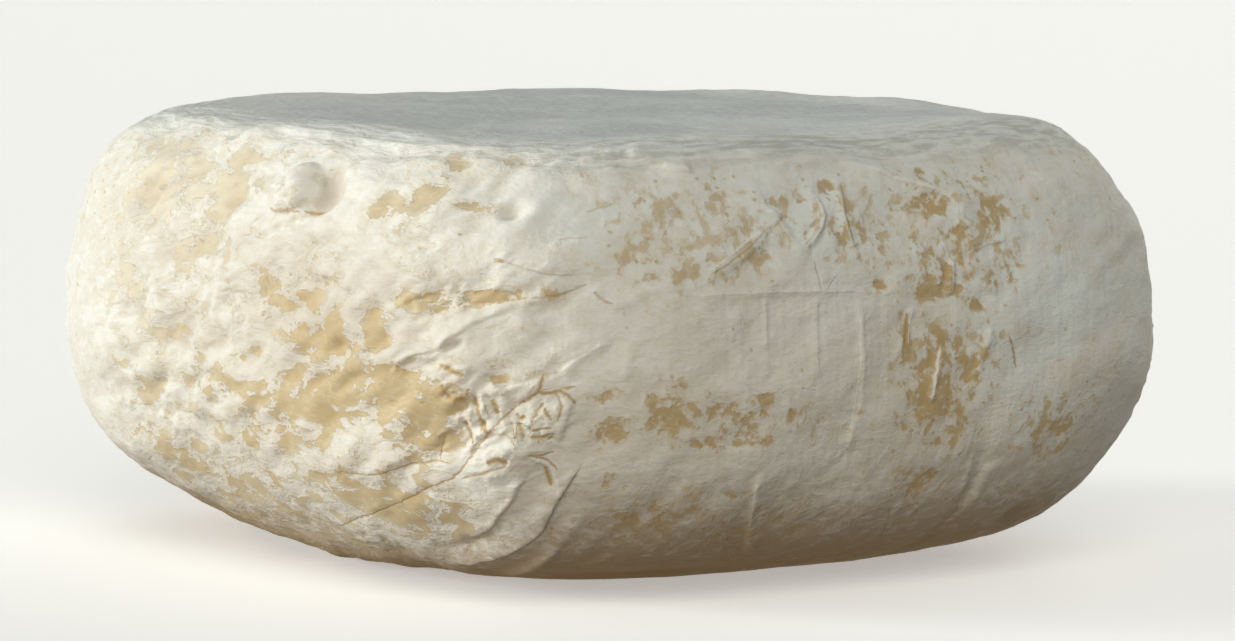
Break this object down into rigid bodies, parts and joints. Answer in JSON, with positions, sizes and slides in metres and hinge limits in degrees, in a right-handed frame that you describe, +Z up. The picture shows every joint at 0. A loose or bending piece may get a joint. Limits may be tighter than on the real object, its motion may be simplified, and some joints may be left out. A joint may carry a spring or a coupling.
{
  "type": "square soft cheese",
  "caption": "Whole square soft cheese with rounded corners, bulging sides and a wrinkled white bloomy rind worn through to tan paste.",
  "frame": {"origin": "middle of the underside, on the surface that the cheese rests on", "axes": "+Z up; +X and +Y square to two sides; the corner with the most folds lies between +X and -Y"},
  "size_m": [0.1104, 0.1102, 0.0518],
  "materials": {
    "rind": "matte"
  },
  "bodies": {
    "root": {"cheese": "rind"}
  },
  "joints": []
}
